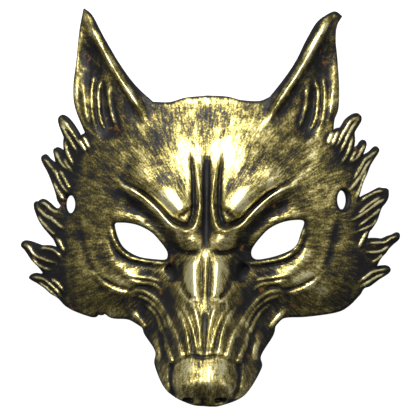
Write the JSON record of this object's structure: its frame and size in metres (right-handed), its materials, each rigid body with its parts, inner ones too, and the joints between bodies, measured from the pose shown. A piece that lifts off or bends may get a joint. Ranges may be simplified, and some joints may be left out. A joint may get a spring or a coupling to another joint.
{
  "type": "foam wolf mask",
  "caption": "Half-face wolf mask of thin moulded foam, painted gold over black, with pointed ears, scowling brow, long muzzle and a mane of pointed locks.",
  "frame": {"origin": "centre of the mask's box on the table that it lies on, open side down", "axes": "+X to the right of the face as one looks at it, +Y up to the ears, +Z out of the face along the muzzle"},
  "size_m": [0.2358, 0.2374, 0.1171],
  "materials": {
    "painted_foam": "satin gold paint brushed over black soft foam"
  },
  "bodies": {
    "root": {"mask_shell": "painted_foam"}
  },
  "joints": []
}
